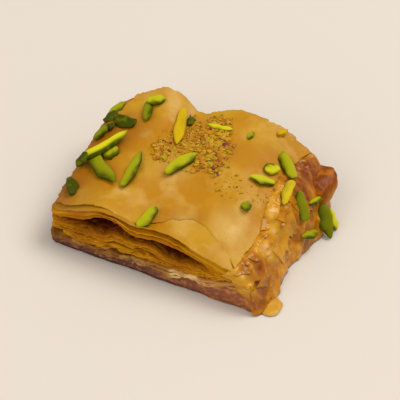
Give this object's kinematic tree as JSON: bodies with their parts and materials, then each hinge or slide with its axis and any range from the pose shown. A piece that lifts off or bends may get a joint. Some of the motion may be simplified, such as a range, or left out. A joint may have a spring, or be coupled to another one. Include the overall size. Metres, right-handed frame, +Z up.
{
  "type": "baklava piece",
  "caption": "Cut piece of baklava: crisp layered pastry sheets on a dense nut and syrup layer, one end torn and glazed.",
  "frame": {"origin": "middle of the underside of the piece's bounding box, on the surface it rests on", "axes": "+X along the front cut towards the torn, syrup-soaked end; +Y from the front cut to the back cut; +Z up"},
  "size_m": [0.069, 0.0578, 0.0206],
  "materials": {
    "soaked_pastry": "soft pastry soaked with syrup, half glossy",
    "nut_filling": "ground nuts bound with dark syrup, glossy where wet",
    "crisp_pastry": "thin golden sheets brushed with butter and syrup, satin"
  },
  "bodies": {
    "root": {"bottom_sheets": "soaked_pastry", "nut_filling": "nut_filling", "flaky_stack": "crisp_pastry"}
  },
  "joints": []
}
